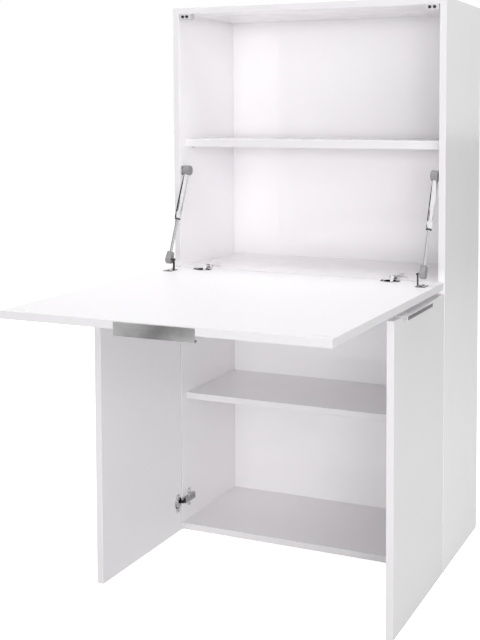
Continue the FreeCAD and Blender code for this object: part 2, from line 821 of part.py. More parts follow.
FLAT = Rotation()
FACE_LEFT = Rotation(Vector(0, 1, 0), -90)
FACE_RIGHT = Rotation(Vector(0, 1, 0), 90)
FLAP_KNEE = ("-Dim.flap_knee_out", "Dim.flap_knee_rise")
FLAP_TIP = ("-Dim.flap_tip_out", "-Dim.tip_drop")
DOOR_KNEE = ("-Dim.door_knee_out", "Dim.door_knee_rise")
DOOR_TIP = ("-Dim.door_tip_out", "-Dim.tip_drop")
FLAP_CUP_Y = "(-%s - Dim.flap_cup_edge)" % FLAP_REAR
DOOR_CUP_Y = "(-Dim.door_swing_gap - Dim.door_cup_edge)"

HINGES = (
    ("flap_hinge_left", FLAT, "-" + HINGE_LEFT, "Dim.desk_level", FLAP_CUP_Y, "flap"),
    ("flap_hinge_right", FLAT, HINGE_RIGHT, "Dim.desk_level", FLAP_CUP_Y, "flap"),
    ("door_left_hinge_low", FACE_RIGHT, "-" + SIDE_IN, HINGE_LOW, DOOR_CUP_Y, "door_left"),
    ("door_left_hinge_high", FACE_RIGHT, "-" + SIDE_IN, HINGE_HIGH, DOOR_CUP_Y, "door_left"),
    ("door_right_hinge_low", FACE_LEFT, SIDE_IN, HINGE_LOW, DOOR_CUP_Y, "door_right"),
    ("door_right_hinge_high", FACE_LEFT, SIDE_IN, HINGE_HIGH, DOOR_CUP_Y, "door_right"),
)

links = {"flap": [], "door_left": [], "door_right": []}
screws = {"cabinet": [], "flap": [], "door_left": [], "door_right": []}


def screw_place(turn, x, y, z, along, rise):
    step = turn.multVec(Vector(1, 0, 0))
    lift = turn.multVec(Vector(0, 0, 1))
    texts = []
    for axis, start in enumerate((x, y, z)):
        text = start
        if abs(step[axis]) > 0.5:
            text = "%s + %d * %s" % (text, round(step[axis]), along)
        if abs(lift[axis]) > 0.5:
            text = "%s + %d * %s" % (text, round(lift[axis]), rise)
        texts.append(text)
    return tuple(texts)


for name, turn, x, z, cup_y, owner in HINGES:
    knee, tip = (FLAP_KNEE, FLAP_TIP) if owner == "flap" else (DOOR_KNEE, DOOR_TIP)
    cup = hinge_cup(name + "_cup_shape")
    plate = hinge_plate(name + "_plate_shape")
    arm = hinge_arm(name + "_arm_shape")
    link = hinge_link(name + "_link_shape", knee, tip)
    for piece, y in ((cup, cup_y), (plate, "0"), (arm, "0"), (link, "0")):
        piece.Placement = Placement(Vector(), turn)
        put(piece, x, y, z)
    keep(cup, name + "_cup")
    keep(plate, name + "_plate")
    keep(arm, name + "_arm")
    links[owner].append(link)
    for word, sign in (("a", "-1"), ("b", "1")):
        along = "(%s * Dim.screw_spread)" % sign
        seat = screw_place(turn, x, cup_y, z, along, "Dim.flange_thick")
        screws[owner].append(screw("%s_cup_screw_%s" % (name, word), seat, turn))
        seat = screw_place(turn, x, "Dim.plate_wing_at", z, along, "Dim.plate_thick")
        screws["cabinet"].append(screw("%s_plate_screw_%s" % (name, word), seat, turn))

for owner in ("flap", "door_left", "door_right"):
    keep(grouped(owner + "_link_group", links[owner]), owner + "_hinge_links")

# Gas struts, one on each side. Each piece of a strut is drawn from the upper
# pivot with Z along the strut; the brackets stand in the cabinet's own axes.


def from_middle(sign, near, far):
    return near if sign == "1" else "-(%s)" % far


def strut_head(name, sign):
    start = from_middle(sign, "-Dim.head_inner", "Dim.head_outer")
    drum = cylinder(
        name + "_drum", "Dim.head_radius", "Dim.head_inner + Dim.head_outer",
        (start, "0", "0"), Vector(1, 0, 0),
    )
    soft = rounded(
        name + "_drum_soft", drum, number("Dim.head_soft"),
        lambda e: isinstance(e.Curve, Part.Circle),
    )
    neck = cylinder(name + "_neck", "Dim.head_neck", "Dim.tube_from", ("0", "0", "-Dim.tube_from"))
    return fused(name, [soft, neck])


SHOE_SPAN = "sqrt(Dim.shoe_top ^ 2 + Dim.shoe_reach ^ 2)"
SHOE_TURN = "(atan2(Dim.shoe_reach; Dim.shoe_top) - acos(Dim.shoe_radius / %s))" % SHOE_SPAN
SHOE_WIDE = "(Dim.shoe_radius * cos(%s))" % SHOE_TURN
SHOE_LOW = "(Dim.shoe_radius * sin(%s))" % SHOE_TURN


def strut_shoe(name, sign):
    body = new_body(name)
    level = "(-%s)" % STRUT_LONG
    disc = sketch_on(body, "YZ_Plane", name + "_disc", "-Dim.shoe_half")
    ring(disc, "0", level, "Dim.shoe_radius")
    drum = body.newObject("PartDesign::Pad", name + "_drum")
    drum.Profile = disc
    drum.setExpression("Length", "2 * Dim.shoe_half")
    body.Tip = drum
    padded(
        body, "YZ_Plane",
        (
            ("-" + SHOE_WIDE, "%s + %s" % (level, SHOE_LOW)),
            (SHOE_WIDE, "%s + %s" % (level, SHOE_LOW)),
            ("Dim.shoe_top", "%s + Dim.shoe_reach" % level),
            ("-Dim.shoe_top", "%s + Dim.shoe_reach" % level),
        ),
        "2 * Dim.shoe_half", offset="-Dim.shoe_half",
    )
    half = number("Dim.shoe_half")
    softened(body, lambda e: lies(e, 0, -half) or lies(e, 0, half), "Dim.shoe_soft")
    sunk(
        body, "YZ_Plane", "_seat", "Dim.shoe_bore_depth",
        holes=[("0", level, "Dim.shoe_bore")],
        offset=from_middle(sign, "-Dim.shoe_half", "-Dim.shoe_half"), backwards=sign == "1",
    )
    return body


TUBE_TOP = "-Dim.tube_from"
TUBE_END = "(-Dim.tube_from - Dim.tube_length)"
ROD_END = "(-%s + Dim.shoe_reach)" % STRUT_LONG
ROD_TOP = "(%s + Dim.rod_inside)" % TUBE_END
TUBE_IN = "(Dim.tube_radius - Dim.tube_wall)"
GUIDE = "(Dim.rod_radius + Dim.rod_play)"
CRIMP = "(%s + Dim.crimp_at)" % TUBE_END
STRUT_FOOT_FAR = "(%s - Dim.shoe_half - Dim.foot_stub)" % STRUT_X
STRUT_FOOT_NEAR = "(%s - Dim.bracket_thick)" % STRUT_FOOT_FAR

for word, sign in (("left", "-1"), ("right", "1")):
    centre_x = "%s * %s" % (sign, STRUT_X)
    tube = turned(
        new_body("strut_tube_" + word),
        (
            ("0", TUBE_TOP),
            ("0", "%s - Dim.tube_wall" % TUBE_TOP),
            (TUBE_IN, "%s - Dim.tube_wall" % TUBE_TOP),
            (TUBE_IN, "%s + Dim.tube_cap" % TUBE_END),
            (GUIDE, "%s + Dim.tube_cap" % TUBE_END),
            (GUIDE, TUBE_END),
            ("Dim.tube_radius - Dim.tube_round", TUBE_END),
            ("Dim.tube_radius - Dim.tube_round / 4", "%s + Dim.tube_round / 3" % TUBE_END),
            ("Dim.tube_radius", "%s + Dim.tube_round" % TUBE_END),
            ("Dim.tube_radius", "%s - Dim.crimp_half" % CRIMP),
            ("Dim.tube_radius - Dim.crimp_depth", CRIMP),
            ("Dim.tube_radius", "%s + Dim.crimp_half" % CRIMP),
            ("Dim.tube_radius", "%s - Dim.tube_wall" % TUBE_TOP),
            ("Dim.tube_radius - Dim.tube_wall", TUBE_TOP),
        ),
    )
    rod = turned(
        new_body("strut_rod_" + word),
        (
            ("0", ROD_END),
            ("Dim.rod_radius", ROD_END),
            ("Dim.rod_radius", ROD_TOP),
            ("%s - Dim.piston_play" % TUBE_IN, ROD_TOP),
            ("%s - Dim.piston_play" % TUBE_IN, "%s + Dim.piston_length" % ROD_TOP),
            ("0", "%s + Dim.piston_length" % ROD_TOP),
        ),
    )
    top_socket = strut_head("strut_head_" + word, sign)
    foot_socket = strut_shoe("strut_shoe_" + word, sign)
    for piece, label in (
        (tube, "strut_tube_"), (rod, "strut_rod_"),
        (top_socket, "strut_top_socket_"), (foot_socket, "strut_foot_socket_"),
    ):
        piece.Placement = Placement(Vector(), Rotation(Vector(-1, 0, 0), 1))
        piece.setExpression("Placement.Rotation.Angle", STRUT_TILT)
        put(piece, centre_x, "Dim.strut_top_in", "Dim.strut_top_level")
        keep(piece, label + word)

    plate_x = "(%s - Dim.bracket_thick)" % SIDE_IN if sign == "1" else "-" + SIDE_IN
    plate = block(
        "strut_top_plate_" + word,
        ("Dim.bracket_thick", "Dim.top_plate_depth", "Dim.top_plate_height"),
        (
            plate_x, "Dim.strut_top_in - Dim.top_plate_depth / 2",
            "Dim.strut_top_level - Dim.top_plate_height / 2",
        ),
    )
    soft = rounded(
        "strut_top_plate_soft_" + word, plate, number("Dim.bracket_soft"), lambda e: runs(e, 0)
    )
    stud_end = "(%s + Dim.head_outer + Dim.stud_gap)" % STRUT_X
    stud = cylinder(
        "strut_top_stud_" + word, "Dim.top_stud_radius",
        "%s - %s" % (SIDE_IN, stud_end),
        (from_middle(sign, stud_end, SIDE_IN), "Dim.strut_top_in", "Dim.strut_top_level"),
        Vector(1, 0, 0),
    )
    holes = [
        cylinder(
            "strut_top_hole_%s_%s" % (word, side), "Dim.screw_shank + Dim.screw_play",
            "Dim.bracket_thick",
            (plate_x, "Dim.strut_top_in", "Dim.strut_top_level + %s * Dim.top_screw_spread" % up),
            Vector(1, 0, 0),
        )
        for side, up in (("low", "-1"), ("high", "1"))
    ]
    drilled = trimmed("strut_top_drilled_" + word, soft, fused("strut_top_holes_" + word, holes))
    keep(fused("strut_top_bracket_shape_" + word, [drilled, stud]), "strut_top_bracket_" + word)
    turn = FACE_LEFT if sign == "1" else FACE_RIGHT
    for side, up in (("low", "-1"), ("high", "1")):
        seat = (
            "%s * (%s - Dim.bracket_thick)" % (sign, SIDE_IN), "Dim.strut_top_in",
            "Dim.strut_top_level + %s * Dim.top_screw_spread" % up,
        )
        screws["cabinet"].append(screw("strut_top_screw_%s_%s" % (word, side), seat, turn))

    base_end = "(%s + Dim.foot_plate_reach)" % STRUT_FOOT_NEAR
    base = block(
        "strut_foot_base_" + word,
        ("Dim.foot_plate_reach", "Dim.foot_plate_length", "Dim.bracket_thick"),
        (
            from_middle(sign, STRUT_FOOT_NEAR, base_end),
            "-Dim.strut_foot_out - Dim.foot_plate_length / 2", "Dim.desk_level",
        ),
    )
    rise = "(Dim.strut_foot_level - Dim.desk_level + Dim.foot_upright_over)"
    upright = block(
        "strut_foot_upright_" + word,
        ("Dim.bracket_thick", "Dim.foot_upright_length", rise),
        (
            from_middle(sign, STRUT_FOOT_NEAR, STRUT_FOOT_FAR),
            "-Dim.strut_foot_out - Dim.foot_upright_length / 2", "Dim.desk_level",
        ),
    )
    eased = rounded(
        "strut_foot_upright_soft_" + word, upright, number("Dim.upright_soft"),
        lambda e: runs(e, 0) and lies(e, 2, number("Dim.strut_foot_level + Dim.foot_upright_over")),
    )
    stub = cylinder(
        "strut_foot_stub_" + word, "Dim.stud_radius", "Dim.foot_stub + Dim.shoe_half",
        (from_middle(sign, STRUT_FOOT_FAR, STRUT_X), "-Dim.strut_foot_out", "Dim.strut_foot_level"),
        Vector(1, 0, 0),
    )
    knob = ball(
        "strut_foot_ball_" + word, "Dim.ball_radius",
        (centre_x, "-Dim.strut_foot_out", "Dim.strut_foot_level"),
    )
    rivet_end = "(%s - Dim.foot_rivet_rise)" % STRUT_FOOT_NEAR
    rivet = cylinder(
        "strut_foot_rivet_" + word, "Dim.foot_rivet_radius", "Dim.foot_rivet_rise",
        (from_middle(sign, rivet_end, STRUT_FOOT_NEAR), "-Dim.strut_foot_out", "Dim.strut_foot_level"),
        Vector(1, 0, 0),
    )
    hole_x = "%s * (%s + Dim.foot_plate_reach / 2)" % (sign, STRUT_FOOT_NEAR)
    holes = []
    for side, way in (("front", "-1"), ("rear", "1")):
        y = "-Dim.strut_foot_out + %s * Dim.foot_screw_spread" % way
        holes.append(
            cylinder(
                "strut_foot_hole_%s_%s" % (word, side), "Dim.screw_shank + Dim.screw_play",
                "Dim.bracket_thick", (hole_x, y, "Dim.desk_level"),
            )
        )
        seat = (hole_x, y, "Dim.desk_level + Dim.bracket_thick")
        screws["flap"].append(screw("strut_foot_screw_%s_%s" % (word, side), seat, FLAT))
    drilled = trimmed("strut_foot_drilled_" + word, base, fused("strut_foot_holes_" + word, holes))
    keep(
        fused("strut_foot_bracket_shape_" + word, [drilled, eased, stub, knob, rivet]),
        "strut_foot_bracket_" + word,
    )

for owner in ("cabinet", "flap", "door_left", "door_right"):
    keep(grouped(owner + "_screw_group", screws[owner]), owner + "_screws")

# Check every object, then write one file for each piece.

doc.recompute()
for thing in doc.Objects:
    if "Invalid" in thing.State or "Error" in thing.State:
        raise ValueError("not in order: %s %s" % (thing.Name, thing.State))
for piece in PIECES:
    if piece.Shape.isNull() or not piece.Shape.isValid() or not piece.Shape.Solids:
        raise ValueError("no valid solid: " + piece.Label)

os.makedirs("parts", exist_ok=True)
for piece in PIECES:
    piece.Shape.exportStep("parts/%s.step" % piece.Label)
    print("%s solids=%d volume=%.0f" % (piece.Label, len(piece.Shape.Solids), piece.Shape.Volume))
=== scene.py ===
import json
import math

import bpy
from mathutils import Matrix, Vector


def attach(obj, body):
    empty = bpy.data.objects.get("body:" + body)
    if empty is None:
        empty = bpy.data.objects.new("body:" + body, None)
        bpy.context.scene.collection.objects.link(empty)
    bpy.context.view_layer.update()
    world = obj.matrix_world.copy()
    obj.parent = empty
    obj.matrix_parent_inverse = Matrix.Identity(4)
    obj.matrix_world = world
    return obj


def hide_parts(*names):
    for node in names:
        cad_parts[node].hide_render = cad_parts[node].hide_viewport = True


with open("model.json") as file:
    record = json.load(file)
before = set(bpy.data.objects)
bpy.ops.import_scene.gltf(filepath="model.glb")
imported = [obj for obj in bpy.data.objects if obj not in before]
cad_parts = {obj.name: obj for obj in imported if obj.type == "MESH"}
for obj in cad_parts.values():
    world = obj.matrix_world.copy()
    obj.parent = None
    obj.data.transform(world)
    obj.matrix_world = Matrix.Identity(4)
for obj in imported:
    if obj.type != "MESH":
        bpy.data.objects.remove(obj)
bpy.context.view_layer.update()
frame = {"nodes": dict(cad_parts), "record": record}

# Fold-down wall desk: a white gloss cabinet with a drop flap on gas struts
# and two doors below. Metres. X to the right, Y to the wall, Z up.

NODES = frame["nodes"]


# Camera and studio.

CAMERA_PLACE = (1.1710, -2.4563, 1.2010)
CAMERA_DIP = 3.398      # degrees below the level
CAMERA_TURN = 22.768    # degrees off square to the wall
SENSOR_WIDTH = 36
FOCAL_LENGTH = 60.579
SHIFT_X, SHIFT_Y = -0.125, -0.21875
CLIP_NEAR, CLIP_FAR = 0.05, 200

ROOM_LIGHT = 0.2        # what the room throws on things
ROOM_SEEN = 1.0         # what the camera and shiny faces see of it
FLOOR_SIZE = 120
FLOOR_TONE = (0.85, 0.85, 0.85, 1)
FLOOR_LIFT = 0.93       # brings the lit floor up to the room behind it
FLOOR_MIRRORED = 0.4    # share of the lift that shiny faces see
FELT_TONE = (0.01, 0.01, 0.01, 1)
WHITE = (1, 1, 1, 1)

# Each lamp's name, place, aim, width, height and power.
SOFTBOXES = (
    ("overhead_softbox", (0, -0.1, 3.6), (0, -0.1, 0.8), 2.4, 1.4, 54),
    ("front_softbox", (0.2, -4.2, 1.6), (0, 0, 0.9), 3.0, 2.6, 14),
    ("wide_softbox", (2.6, -11.6, 1.5), (0, 0, 0.8), 9.0, 2.8, 605),
    ("side_softbox", (3.4, -3.4, 2.0), (0, 0, 0.9), 3.0, 2.6, 80),
    ("left_softbox", (-4.4, 1.2, 1.7), (0, 0.2, 0.8), 3.0, 2.6, 50),
    ("back_softbox", (-1.2, 5.0, 1.8), (-0.2, 0.5, 0.8), 2.6, 2.6, 50),
)

# Each flag's name, place, aim, width and height.
FLAGS = (
    ("left_flag", (-2.4, -0.35, 1.3), (0, -0.35, 1.3), 3.7, 2.6),
    ("front_flag", (-2.3, -6.0, 1.7), (-0.2, 0.5, 1.7), 2.3, 3.4),
)


def make_camera():
    data = bpy.data.cameras.new("desk_camera")
    camera = bpy.data.objects.new("desk_camera", data)
    bpy.context.scene.collection.objects.link(camera)
    camera.location = CAMERA_PLACE
    camera.rotation_euler = (math.radians(90 - CAMERA_DIP), 0, math.radians(CAMERA_TURN))
    data.sensor_width = SENSOR_WIDTH
    data.lens = FOCAL_LENGTH
    data.shift_x = SHIFT_X
    data.shift_y = SHIFT_Y
    data.clip_start = CLIP_NEAR
    data.clip_end = CLIP_FAR
    bpy.context.scene.camera = camera


def seen_directly(nodes, links, mirrored=1.0):
    """One for a camera ray, a share for a mirror or glass ray, and nought
    for the light that falls on things."""
    path = nodes.new("ShaderNodeLightPath")
    bounced = nodes.new("ShaderNodeMath")
    bounced.operation = "MAXIMUM"
    links.new(path.outputs["Is Glossy Ray"], bounced.inputs[0])
    links.new(path.outputs["Is Transmission Ray"], bounced.inputs[1])
    share = nodes.new("ShaderNodeMath")
    share.operation = "MULTIPLY"
    share.inputs[1].default_value = mirrored
    links.new(bounced.outputs[0], share.inputs[0])
    either = nodes.new("ShaderNodeMath")
    either.operation = "MAXIMUM"
    links.new(path.outputs["Is Camera Ray"], either.inputs[0])
    links.new(share.outputs[0], either.inputs[1])
    return either.outputs[0]


def make_world():
    world = bpy.data.worlds.new("pale_room")
    bpy.context.scene.world = world
    world.use_nodes = True
    nodes, links = world.node_tree.nodes, world.node_tree.links
    nodes.clear()
    background = nodes.new("ShaderNodeBackground")
    background.inputs["Color"].default_value = WHITE
    level = nodes.new("ShaderNodeMapRange")
    level.inputs["To Min"].default_value = ROOM_LIGHT
    level.inputs["To Max"].default_value = ROOM_SEEN
    links.new(seen_directly(nodes, links), level.inputs["Value"])
    links.new(level.outputs["Result"], background.inputs["Strength"])
    output = nodes.new("ShaderNodeOutputWorld")
    links.new(background.outputs[0], output.inputs["Surface"])


def empty_material(name):
    """A material with no nodes yet, and its node tree."""
    material = bpy.data.materials.new(name)
    material.use_nodes = True
    material.node_tree.nodes.clear()
    return material, material.node_tree


def make_floor():
    bpy.ops.object.select_all(action="DESELECT")
    bpy.ops.mesh.primitive_plane_add(size=FLOOR_SIZE, location=(0, 0, 0))
    floor = bpy.context.active_object
    floor.name = "studio_floor"
    material, tree = empty_material("pale_floor")
    nodes, links = tree.nodes, tree.links
    matt = nodes.new("ShaderNodeBsdfDiffuse")
    matt.inputs["Color"].default_value = FLOOR_TONE
    lift = nodes.new("ShaderNodeEmission")
    lift.inputs["Color"].default_value = WHITE
    level = nodes.new("ShaderNodeMath")
    level.operation = "MULTIPLY"
    level.inputs[1].default_value = FLOOR_LIFT
    links.new(seen_directly(nodes, links, FLOOR_MIRRORED), level.inputs[0])
    links.new(level.outputs[0], lift.inputs["Strength"])
    both = nodes.new("ShaderNodeAddShader")
    links.new(matt.outputs[0], both.inputs[0])
    links.new(lift.outputs[0], both.inputs[1])
    output = nodes.new("ShaderNodeOutputMaterial")
    links.new(both.outputs[0], output.inputs["Surface"])
    floor.data.materials.append(material)


def add_softbox(name, place, aim, width, height, power):
    data = bpy.data.lights.new(name, "AREA")
    data.shape = "RECTANGLE"
    data.size = width
    data.size_y = height
    data.energy = power
    lamp = bpy.data.objects.new(name, data)
    bpy.context.scene.collection.objects.link(lamp)
    lamp.location = place
    lamp.visible_glossy = False
    lamp.rotation_euler = (Vector(aim) - Vector(place)).to_track_quat("-Z", "Y").to_euler()


def add_flag(name, place, aim, width, height):
    """A black studio flag that only shiny faces mirror; it casts no shadow
    and the camera doesn't see it."""
    bpy.ops.object.select_all(action="DESELECT")
    turn = (Vector(aim) - Vector(place)).to_track_quat("Z", "Y").to_euler()
    bpy.ops.mesh.primitive_plane_add(size=1, location=place, rotation=turn)
    flag = bpy.context.active_object
    flag.name = name
    flag.scale = (width, height, 1)
    material, tree = empty_material(name + "_felt")
    felt = tree.nodes.new("ShaderNodeBsdfDiffuse")
    felt.inputs["Color"].default_value = FELT_TONE
    output = tree.nodes.new("ShaderNodeOutputMaterial")
    tree.links.new(felt.outputs[0], output.inputs["Surface"])
    flag.data.materials.append(material)
    flag.visible_camera = False
    flag.visible_diffuse = False
    flag.visible_shadow = False


# Shader groups that several finishes share. Each gives back colours, masks
# or heights only; the shader itself stays in the finish.

FLOAT, COLOUR, VECTOR = "NodeSocketFloat", "NodeSocketColor", "NodeSocketVector"


def new_group(name, inputs, outputs):
    group = bpy.data.node_groups.new(name, "ShaderNodeTree")
    for title, kind, value in inputs:
        socket = group.interface.new_socket(title, in_out="INPUT", socket_type=kind)
        if value is not None:
            socket.default_value = value
    for title, kind in outputs:
        group.interface.new_socket(title, in_out="OUTPUT", socket_type=kind)
    enter = group.nodes.new("NodeGroupInput")
    leave = group.nodes.new("NodeGroupOutput")
    return group, enter, leave


def feed(tree, value, socket):
    """Links the socket to another one, or sets it to a plain value."""
    if hasattr(value, "is_linked"):
        tree.links.new(value, socket)
    else:
        socket.default_value = value


def add_noise(tree, vector, scale, detail=2.0, rough=0.5):
    noise = tree.nodes.new("ShaderNodeTexNoise")
    noise.inputs["Detail"].default_value = detail
    noise.inputs["Roughness"].default_value = rough
    tree.links.new(vector, noise.inputs["Vector"])
    feed(tree, scale, noise.inputs["Scale"])
    return noise.outputs["Fac"]


def add_range(tree, value, low, high, out_low=0.0, out_high=1.0):
    remap = tree.nodes.new("ShaderNodeMapRange")
    feed(tree, low, remap.inputs["From Min"])
    feed(tree, high, remap.inputs["From Max"])
    feed(tree, out_low, remap.inputs["To Min"])
    feed(tree, out_high, remap.inputs["To Max"])
    tree.links.new(value, remap.inputs["Value"])
    return remap.outputs["Result"]


def add_math(tree, operation, first, second=None):
    node = tree.nodes.new("ShaderNodeMath")
    node.operation = operation
    feed(tree, first, node.inputs[0])
    if second is not None:
        feed(tree, second, node.inputs[1])
    return node.outputs[0]


def add_vector_math(tree, operation, first, second=None):
    node = tree.nodes.new("ShaderNodeVectorMath")
    node.operation = operation
    tree.links.new(first, node.inputs[0])
    if second is not None:
        tree.links.new(second, node.inputs[1])
    return node.outputs["Value" if operation == "DOT_PRODUCT" else "Vector"]


def add_mix(tree, factor, first, second):
    mix = tree.nodes.new("ShaderNodeMix")
    mix.data_type = "RGBA"
    for title, value in (("Factor", factor), ("A", first), ("B", second)):
        feed(tree, value, [s for s in mix.inputs if s.name == title and s.enabled][0])
    return [s for s in mix.outputs if s.enabled][0]


# A face counts as looking a way from the first value of its slant to the second.
FACING = (0.6, 0.8)
LIP_FACING = (0.2, 0.4)


def facing_share(tree, enter, title, span=FACING):
    """One on faces that look along the named direction or against it."""
    ways = add_vector_math(tree, "ABSOLUTE", enter.outputs["Normal"])
    along = add_vector_math(tree, "DOT_PRODUCT", ways, enter.outputs[title])
    return add_range(tree, along, *span)


# Lacquer: the part of each noise that is used, half the height over which
# the painted edge shade sets in, how far the satin varies, and the peel's share.
DRIFT_SPAN = (0.35, 0.7)
SMEAR_SPAN = (0.35, 0.72)
EDGE_SHADE_BLEND = 0.02
SATIN_SPREAD = 0.05
PEEL_SHARE = 0.25


def make_lacquer_skin():
    """A sprayed gloss coat: faint orange peel, cloudy handling marks in the
    shine, hardly any drift in colour.

    The edge ways input weighs the three directions in which a board shows its
    edge; there the deeper edge tone is painted shade, from the start height up,
    while below it, behind the doors, the edge keeps the face colour, painted
    light against the shade of the door gap. Satin Way points out of the face
    that has the satin inner laminate, in Inner Tone, instead of the gloss coat;
    where a door or flap sets its outer Tone deeper, that is painted shade.
    """
    group, enter, leave = new_group(
        "lacquer_skin",
        [
            ("Vector", VECTOR, None), ("Normal", VECTOR, None),
            ("Shaded Edge Ways", VECTOR, (0, 0, 0)), ("Satin Way", VECTOR, (0, 0, 0)),
            ("Satin", FLOAT, 0.42), ("Coat", FLOAT, 0.2),
            ("Tone", COLOUR, (0.965, 0.948, 0.965, 1)),
            ("Deep Tone", COLOUR, (0.955, 0.938, 0.955, 1)),
            ("Edge Shade Tone", COLOUR, (0.75, 0.735, 0.75, 1)),
            ("Inner Tone", COLOUR, (0.965, 0.948, 0.965, 1)),
            ("Shine Low", FLOAT, 0.06), ("Shine High", FLOAT, 0.16),
            ("Edge Shade Start", FLOAT, -1.0),
        ],
        [("Color", COLOUR), ("Roughness", FLOAT), ("Coat", FLOAT), ("Height", FLOAT)],
    )
    given, links = enter.outputs, group.links
    inward = add_vector_math(group, "DOT_PRODUCT", given["Normal"], given["Satin Way"])
    satin = add_range(group, inward, *FACING)

    drift = add_noise(group, given["Vector"], scale=1.7, detail=3.0)
    coat = add_mix(group, add_range(group, drift, *DRIFT_SPAN), given["Tone"], given["Deep Tone"])
    faces = add_mix(group, satin, coat, given["Inner Tone"])
    apart = group.nodes.new("ShaderNodeSeparateXYZ")
    links.new(given["Vector"], apart.inputs[0])
    # Painted shade: edges along the edge ways take the deeper edge tone above the start height;
    # below it, behind the doors, they keep the face colour, painted light against the shade of the
    # door gap.
    rise = add_math(group, "SUBTRACT", apart.outputs["Z"], given["Edge Shade Start"])
    above = add_range(group, rise, -EDGE_SHADE_BLEND, EDGE_SHADE_BLEND)
    edge_shade = add_math(group, "MULTIPLY", facing_share(group, enter, "Shaded Edge Ways"), above)
    links.new(add_mix(group, edge_shade, faces, given["Edge Shade Tone"]), leave.inputs["Color"])

    smear = add_noise(group, given["Vector"], scale=9.0, detail=5.0, rough=0.6)
    gloss = add_range(group, smear, *SMEAR_SPAN, given["Shine Low"], given["Shine High"])
    least = add_math(group, "SUBTRACT", given["Satin"], SATIN_SPREAD)
    dull = add_range(group, smear, *SMEAR_SPAN, least, given["Satin"])
    links.new(add_range(group, satin, 0, 1, gloss, dull), leave.inputs["Roughness"])
    links.new(add_range(group, satin, 0, 1, given["Coat"], 0.0), leave.inputs["Coat"])

    peel = add_noise(group, given["Vector"], scale=260.0, detail=1.0)
    wave = add_noise(group, given["Vector"], scale=14.0, detail=1.0)
    relief = add_math(group, "ADD", add_math(group, "MULTIPLY", peel, PEEL_SHARE), wave)
    links.new(relief, leave.inputs["Height"])
    return group


# Brushing: how much of the plate's tone the scratches and the painted reflection
# stripe give, how far the stripe wanders, how strongly the lip takes its painted
# shade, and the shine.
LINE_SPAN = (0.3, 0.7)
LINE_SHARE = 0.25
WANDER = 0.5
LIP_LEAST = 0.85
BRUSHED_SHINE = (0.24, 0.4)


def make_brushing():
    """Fine scratches drawn out along one direction, with a painted reflection
    across them: a broad light and dark stripe along one way, wobbled by slow
    noise. The lip way input points out of a folded lip whose tone is a painted
    dark reflection."""
    group, enter, leave = new_group(
        "brushing",
        [
            ("Vector", VECTOR, None), ("Stretch", VECTOR, (3, 900, 900)),
            ("Reflection Stripe Way", VECTOR, (30, 0, 0)), ("Reflection Stripe Start", FLOAT, 0.0),
            ("Normal", VECTOR, None), ("Shaded Lip Way", VECTOR, (0, 0, 0)),
            ("Lip Shade Tone", COLOUR, (0.2, 0.195, 0.2, 1)),
            ("Light", COLOUR, (0.62, 0.61, 0.62, 1)), ("Dark", COLOUR, (0.45, 0.44, 0.45, 1)),
        ],
        [("Color", COLOUR), ("Roughness", FLOAT), ("Height", FLOAT)],
    )
    given, links = enter.outputs, group.links
    drawn = add_vector_math(group, "MULTIPLY", given["Vector"], given["Stretch"])
    lines = add_noise(group, drawn, scale=1.0, detail=3.0, rough=0.65)
    # Painted reflection: a broad stripe from the light to the dark tone along one way, from its
    # start, wobbled by slow noise.
    along = add_vector_math(group, "DOT_PRODUCT", given["Vector"], given["Reflection Stripe Way"])
    slow = add_noise(group, given["Vector"], scale=24.0, detail=2.0)
    wander = add_range(group, slow, *LINE_SPAN, -WANDER, WANDER)
    start = add_math(group, "ADD", along, given["Reflection Stripe Start"])
    cloud_and_painted_light = add_math(group, "COSINE", add_math(group, "ADD", start, wander))
    blend = add_math(
        group, "ADD",
        add_range(group, lines, *LINE_SPAN, 0, LINE_SHARE),
        add_range(group, cloud_and_painted_light, 1, -1, 0, 1 - LINE_SHARE),
    )
    plate = add_mix(group, blend, given["Dark"], given["Light"])
    # The lip's dark tone is a painted dark reflection.
    lip = add_math(
        group, "MULTIPLY",
        facing_share(group, enter, "Shaded Lip Way", LIP_FACING),
        add_range(group, lines, *LINE_SPAN, LIP_LEAST, 1),
    )
    links.new(add_mix(group, lip, plate, given["Lip Shade Tone"]), leave.inputs["Color"])
    links.new(add_range(group, lines, 0.25, 0.75, *BRUSHED_SHINE), leave.inputs["Roughness"])
    links.new(lines, leave.inputs["Height"])
    return group


# Plating: the part of each noise that makes clouds, specks and the mask of painted light.
CLOUD_SPAN = (0.45, 0.75)
CLOUD_MOST = 0.5
SPECK_SPAN = (0.68, 0.78)
PAINTED_LIGHT_SPAN = (0.3, 0.6)
PAINTED_LIGHT_LEAST = 0.8


